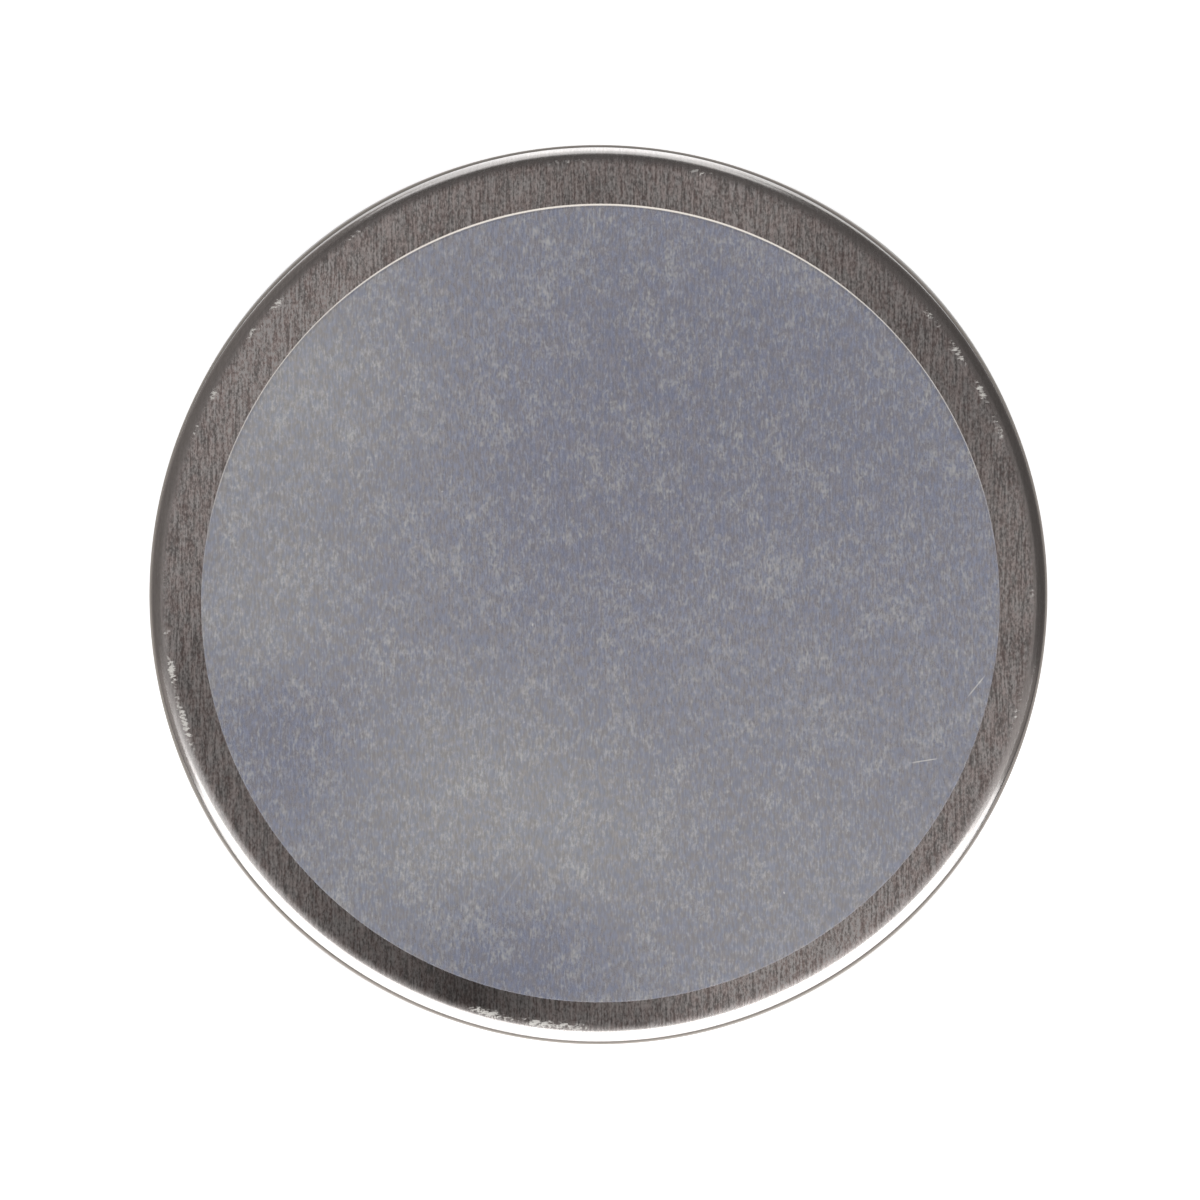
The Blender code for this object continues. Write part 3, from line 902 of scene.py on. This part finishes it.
leaflet_low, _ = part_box("instruction_leaflet")
pitch = LEAFLET_PAPER + LEAFLET_SPRING
leaflet_side = paper_reach * math.sqrt(2)
outline, _, _ = sheet_outline(folded_line(leaflet_side, pitch), LEAFLET_PAPER, edge_points=2)
stations = np.linspace(-leaflet_side / 2, leaflet_side / 2, 61)
points = point_table(outline[:, :1], stations, outline[:, 1:] + LEAFLET_PAPER / 2)
bow = np.cos(math.pi * points[..., 0] / leaflet_side) * np.cos(math.pi * stations / leaflet_side)
points[..., 2] += LEAFLET_ARCH * (bow - 1) * points[..., 2] / pitch
numbers = number_grid(*points.shape[:2])
half = len(outline) // 2
caps = [np.stack([numbers[:half, k], numbers[::-1][:half, k]]) for k in (0, -1)]
faces = [grid_faces(numbers, close_rows=True), grid_faces(caps[0]), grid_faces(caps[1])[:, ::-1]]
points = turned(points.reshape(-1, 3), LEAFLET_TURN) + (0, 0, leaflet_low.z)
leaflet = make_piece("leaflet_strip", points, faces, crease=50)
white_paper = make_paper("leaflet paper", (0.7, 0.68, 0.61), (0.82, 0.8, 0.74), (0.5, 0.46, 0.38), 0.25)
place_piece(leaflet, "instruction_leaflet", white_paper)

# %% [markdown]
# ## The seed packet
#
# The packet is one sheet of brown paper: a flat back, round folds at its sides, a front that swells over the
# seeds, a folded bottom, and a flap that turns over the mouth. Rings of points run round the bag, from bottom
# to mouth, and the flap carries on from the back's last row. The swell is a parabola across and a half sine
# along: c (1 - (x / w) ** 2) sin(pi y / l). Small creases run in from the side folds, where paper that bulges
# has to buckle. The Solidify modifier then gives the sheet its thickness.

# %% Packet sizes and shape
PACKET_PROPORTION = 1.3
PACKET_PAPER = 0.15 * MM
PACKET_FOLD = 0.25 * MM
FLAP_LENGTH = 12.0 * MM
FLAP_GAP = 0.2 * MM
FLAP_TAPER = 0.3
FLAP_ROUNDING = 0.9 * MM
PACKET_TURN = 14.0
SEED_THICKNESS = 1.5 * MM
SWELL = SEED_THICKNESS + 1.1 * MM
CREASE_LENGTH, CREASE_DRIFT, CREASE_SLANT, BUCKLE_WAVE = 4.6 * MM, 3.1 * MM, 12.5 * MM, 9 * MM
COLUMNS = 61
ROWS = 73
FOLD_POINTS = 5

packet_low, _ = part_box("seed_packet")
packet_width = 2 * paper_reach / math.hypot(1, PACKET_PROPORTION)
packet_length = packet_width * PACKET_PROPORTION
packet_reach = packet_width / 2 - PACKET_FOLD - PACKET_PAPER / 2
across = packet_reach * np.linspace(1, -1, COLUMNS)


def swell(x, y):
    """How far the front stands up: the parabola times the half sine, with creases near the side folds."""
    side = np.clip(np.abs(x) / packet_reach, 0, 1)
    along = np.sin(math.pi * np.clip(y / packet_length, 0, 1))
    crease = np.sin(math.tau * (y / CREASE_LENGTH + 0.35 * np.sin(y / CREASE_DRIFT) + x / CREASE_SLANT))
    soft = ripple(np.stack([x, y], -1), BUCKLE_WAVE, seed=31)
    buckle = side**2 * (1 - side**2) * along * (0.34 * crease + 0.16 * soft) * MM
    return SWELL * (1 - side**2) * along * 0.97 + buckle


def bag_rings():
    """Rings from the bottom to the mouth: the front, the left fold, the back and the right fold."""
    left = arc((-packet_reach, PACKET_FOLD), PACKET_FOLD, 90, 270, FOLD_POINTS + 2)[1:-1]
    right = arc((packet_reach, PACKET_FOLD), PACKET_FOLD, -90, 90, FOLD_POINTS + 2)[1:-1]
    front_z, back_z = np.full(COLUMNS, 2 * PACKET_FOLD), np.zeros(COLUMNS)
    x = np.concatenate([across, left[:, 0], -across, right[:, 0]])
    z = np.concatenate([front_z, left[:, 1], back_z, right[:, 1]])
    rings = point_table(x, packet_length * np.linspace(0, 1, ROWS)[:, None], z)
    rings[:, :COLUMNS, 2] += swell(rings[:, :COLUMNS, 0], rings[:, :COLUMNS, 1])
    return rings


def bottom_lines():
    """Lines across the bottom fold, between the front's first row and the back's, without their ends."""
    bend = arc((0, PACKET_FOLD), PACKET_FOLD, 90, 270, FOLD_POINTS + 2)[1:-1]
    return point_table(across[1:-1], bend[:, :1], bend[:, 1:])


def flap_lines():
    """Lines across the flap, from just past the back's last row, over the mouth and down to its tip."""
    lift = 2 * PACKET_FOLD + PACKET_PAPER + FLAP_GAP
    tip = (packet_length - FLAP_LENGTH, lift)
    over = arc((packet_length, lift / 2), lift / 2, -90, 90, 12)[1:]
    line = join(over, 30, tip)
    share = np.clip((packet_length - line[:, :1]) / FLAP_LENGTH, 0, 1)
    x = -across * (1 - FLAP_TAPER * share)
    y = line[:, :1] + FLAP_ROUNDING * (across / packet_reach) ** 6 * ease(share, 0.5, 1)
    return point_table(x, y, line[:, 1:] + swell(x, y))


bag, bottom, flap = bag_rings(), bottom_lines(), flap_lines()
bag_numbers = number_grid(*bag.shape[:2])
bottom_numbers = number_grid(*bottom.shape[:2], bag_numbers.size)
flap_numbers = number_grid(*flap.shape[:2], bag_numbers.size + bottom_numbers.size)
front_edge = bag_numbers[:1, :COLUMNS]
left_edge = bag_numbers[0, COLUMNS : COLUMNS + FOLD_POINTS, None]
back_edges = bag_numbers[:, COLUMNS + FOLD_POINTS : -FOLD_POINTS]
right_edge = bag_numbers[0, -FOLD_POINTS:][::-1, None]
bottom_rows = np.concatenate([right_edge, bottom_numbers, left_edge], 1)
bottom_table = np.concatenate([front_edge, bottom_rows, back_edges[:1, ::-1]])
faces = [
    grid_faces(bag_numbers, close_columns=True),
    grid_faces(bottom_table)[:, ::-1],
    grid_faces(np.concatenate([back_edges[-1:], flap_numbers])),
]
points = np.concatenate([lines.reshape(-1, 3) for lines in (bag, bottom, flap)])
points = turned(points - (0, packet_length / 2, 0), PACKET_TURN) + (0, 0, packet_low.z + PACKET_PAPER / 2)
packet = make_piece("packet_bag", points, faces, closed=False, crease=60)
solidify = packet.modifiers.new("paper", "SOLIDIFY")
solidify.thickness = PACKET_PAPER
solidify.offset = 0.0
brown_paper = make_paper("packet paper", (0.34, 0.21, 0.115), (0.47, 0.315, 0.18), (0.2, 0.12, 0.065), 0.55)
place_piece(packet, "seed_packet", brown_paper)

# %% [markdown]
# ## Seeds
#
# The seeds lie in one layer on the back sheet, each turned its own way. A seed is an egg drawn out to a
# point: half an ellipse in length, a width that tapers towards the tip, and a ridge round its edge, made by
# raising the cosine and sine to powers a little off 1. Pale stripes run along the dark husk from end to end,
# so they read a field that holds the angle round the seed and the share of its length.

# %% Seeds
SEED_COUNT = 10
SEED_LENGTH = 4.2 * MM
SEED_WIDTH = 2.6 * MM
SEED_TAPER = 0.5
SEED_TURN = 1.7
SEED_SIDE_ROOM = 6.0 * MM
GOLDEN_ANGLE = 137.508


def make_husk():
    husk = Finish("striped husk")
    along = husk.place("along")
    stripe = husk.noise(along, (1.6, 0.4, 1.6))
    fine = husk.noise(along, (6.0, 1.2, 6.0))
    tone = husk.mix(stripe.step(0.5, 0.6), (0.035, 0.028, 0.024), (0.42, 0.37, 0.3))
    return husk.surface(
        base_color=husk.mix(fine.step(0.35, 0.75) * 0.4, tone, (0.14, 0.11, 0.085)),
        roughness=0.45 + fine * 0.2,
        normal=husk.bump(fine, 0.05 * MM),
    )


def powered(value, power):
    """A number raised to a power, with its sign kept."""
    return np.sign(value) * np.abs(value) ** power


def seed_surface(rings=25, around=36):
    """Points of a seed about its middle, with its poles on X, and the field along it."""
    turn = np.arange(around) * math.tau / around
    share = np.linspace(0, math.pi, rings + 2)[1:-1, None]
    end = -np.cos(share) / 2
    girth = np.sin(share) ** 0.9
    width = SEED_WIDTH / 2 * (1 - SEED_TAPER * (end + 0.5)) * girth * powered(np.cos(turn), 1.1)
    height = SEED_THICKNESS / 2 * girth * powered(np.sin(turn), 1.25)
    points = point_table(SEED_LENGTH * end, width, height)
    tips = [[-SEED_LENGTH / 2, 0, 0], [SEED_LENGTH / 2, 0, 0]]
    field = point_table(3 * np.cos(turn), 4 * end, 3 * np.sin(turn))
    field = np.concatenate([field.reshape(-1, 3), [[0, -2, 0], [0, 2, 0]]]) * MM
    return np.concatenate([points.reshape(-1, 3), tips]), tube_faces(rings, around), field


husk_finish = make_husk()
seed_points, seed_faces, seed_field = seed_surface()
seed_reach = packet_width / 2 - SEED_SIDE_ROOM - SEED_LENGTH / 2
for k in range(SEED_COUNT):
    low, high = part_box(f"seed_{k + 1}")
    angle = k * GOLDEN_ANGLE
    radius = seed_reach * math.sqrt((k + 0.5) / (SEED_COUNT - 0.5))
    middle = turned(np.array([radius, 0, (low.z + high.z) / 2]), angle)
    points = turned(seed_points, SEED_TURN * angle) + middle
    seed = make_piece(f"seed_husk_{k + 1}", points, seed_faces, {"along": seed_field + (9 * k * MM, 0, 0)})
    place_piece(seed, f"seed_{k + 1}", husk_finish)

# %% [markdown]
# ## The studio
#
# The photograph looks straight down on the lid. A wide soft lamp stands low in front, below the picture, so
# the shoulder turned to it burns out white. The flat metal sees a dim ceiling and looks grey. The floor is
# white, and the far shoulder shows it, with a weaker lamp behind the tin, as a bright line. Dark cards left
# and right lie on it and stand on it, close to the tin, and give its two sides their dark line. Towards the
# front they are low, so the light comes over them there. Only reflections see them.
#
# The world is white for the camera, so the picture has a white ground. For reflections it is a dim warm room
# with a soft glow above the lamp and a brighter one in front on the left. For soft daylight on paper and coir
# it is a plain grey.

# %% Floor, lamp, cards and world
FLOOR_REACH = 4.0
CARD_INNER = 0.036
CARD_OUTER = 0.058
CARD_FRONT = -0.028
CARD_STEP = -0.01
CARD_BOTTOM = 0.0005
CARD_TOP = 0.042
STEP_TOP = 0.024
LAMPS = {  # the middle, size, radiance and turn about Z of each, which would face +Y without a turn
    "front_lamp": ((-0.25, -0.8, 0.35), (3.0, 0.68), 2.0, 0),
    "back_lamp": ((0.0, 1.6, 0.16), (1.3, 0.32), 0.7, math.pi),
}
SIDE_HEADING = 212
DARK_BEHIND = (0.06, 0.17)
DARK_BESIDE = (0.006, 0.026)
DARK_BESIDE_FROM = (-0.02, 0.01)
WHITE, BLACK = (1.0, 1.0, 1.0), (0.0, 0.0, 0.0)
SOFT_GREY = (0.75, 0.75, 0.75)
ROOM = (0.23, 0.21, 0.204)
CARD_TINT = (1.0, 0.91, 0.87)  # as warm as the dim room


def make_sheet(name, line, depth, base, glow):
    """A sheet of the studio: a line of (x, z) points, carried from the first y of the depth to the second."""
    material = Finish(name)
    strength, tint = glow(material)
    material.surface(base_color=base, roughness=1.0, emission_color=tint, emission_strength=strength)
    mesh = bpy.data.meshes.new(name)
    numbers = number_grid(2, len(line))
    mesh.from_pydata([(x, y, z) for y in depth for x, z in line], [], grid_faces(numbers)[:, ::-1].tolist())
    mesh.materials.append(material.owner)
    sheet = add_object(name, mesh)
    return sheet


def floor_glow(material):
    """The floor is lifted towards white for the camera and in reflections, and keeps its shadow.

    In reflections a painted shade darkens it behind the tin, and behind it to both sides, where the lamps
    reach it less.
    """
    right, back = material.place().part("X"), material.place().part("Y")
    # painted shade on the floor, seen only in reflections, behind and beside the tin
    beside = abs(right).step(*DARK_BESIDE) * back.step(*DARK_BESIDE_FROM)
    shade = (back.step(*DARK_BEHIND) * 0.9).larger(beside * 0.9)
    strength = material.ray("Camera") * 0.6 + material.ray("Glossy") * 0.7
    return strength, material.mix(material.ray("Glossy"), WHITE, material.brighten(WHITE, 1.15 - shade))


floor_line = [(-FLOOR_REACH, 0), (FLOOR_REACH, 0)]
make_sheet("floor", floor_line, (-FLOOR_REACH, FLOOR_REACH), (0.8, 0.8, 0.8), floor_glow)
inner, outer = (CARD_INNER, CARD_BOTTOM), (CARD_OUTER, CARD_BOTTOM)
for name, side, back, glow, step_glow in (("left", -1, 0.1, 0.15, 0.28), ("right", 1, 0.13, 0.08, 0.2)):
    for part, line, depth, strength in (
        ("lying", [inner, outer], (CARD_FRONT, back), glow * 1.4),
        ("standing", [outer, (CARD_OUTER, CARD_TOP)], (CARD_STEP, back), glow),
        ("low", [outer, (CARD_OUTER, STEP_TOP)], (CARD_FRONT, CARD_STEP), step_glow),
    ):
        line = [(side * x, z) for x, z in line][::side]
        card = make_sheet(f"card_{name}_{part}", line, depth, BLACK, lambda material: (strength, CARD_TINT))
        card.visible_camera = card.visible_diffuse = card.visible_shadow = card.visible_transmission = False

for name, (middle, size, radiance, turn) in LAMPS.items():
    light = bpy.data.lights.new(name, "AREA")
    light.shape = "RECTANGLE"
    light.size, light.size_y = size
    light.energy = radiance * math.pi * size[0] * size[1]
    lamp = add_object(name, light)
    lamp.location = middle
    lamp.rotation_euler = (math.pi / 2, 0, turn)
    lamp.visible_camera = False

world = Nodes(bpy.data.worlds.new("studio"))
bpy.context.scene.world = world.owner
heading = world.node("TexCoord", out="Generated")
right, back = heading.part("X"), heading.part("Y")
along, across = headed(right, back, SIDE_HEADING)
window = (back * -1.0).step(0.1, 0.8) * 0.3
beside = abs(across) - along * 0.35
side = along.step(0.15, 0.6) * (1.0 - beside.step(-0.15, 0.05)) * 0.65
room = world.mix(window.larger(side), world.brighten(ROOM, 0.333**back), WHITE)
soft = world.mix(world.ray("Glossy"), SOFT_GREY, room)
seen = world.mix(world.ray("Camera").larger(world.ray("Transmission")), soft, WHITE)
world.feed(world.tree.nodes["Background"].inputs["Color"], seen)

# %% [markdown]
# ## The camera
#
# The lens is long and the camera far away, so the tin's side hardly shows. The camera stands a little towards
# the lower edge of the picture.

# %% Camera
PICTURE_PIXELS = 1200
PIXELS_PER_MM = 13.31  # at the height of the lid
CAMERA_DISTANCE = 1.85
CAMERA_BACK = 0.006
SENSOR = 36.0
TIN_PIXEL = (598.4, 594.3)

camera_data = bpy.data.cameras.new("camera")
camera_data.sensor_width = SENSOR
camera_data.lens = PIXELS_PER_MM / MM * CAMERA_DISTANCE * SENSOR / PICTURE_PIXELS
camera_data.shift_x = (PICTURE_PIXELS / 2 - TIN_PIXEL[0]) / PICTURE_PIXELS
camera_data.shift_y = (TIN_PIXEL[1] - PICTURE_PIXELS / 2) / PICTURE_PIXELS
camera = add_object("camera", camera_data)
camera.location = (0, -CAMERA_BACK, lid_high.z + CAMERA_DISTANCE)
camera.rotation_euler = (math.atan2(CAMERA_BACK, CAMERA_DISTANCE), 0, 0)
bpy.context.scene.camera = camera
bpy.context.scene.view_settings.view_transform = "Standard"
print("the lens is", round(camera_data.lens, 1), "mm long")
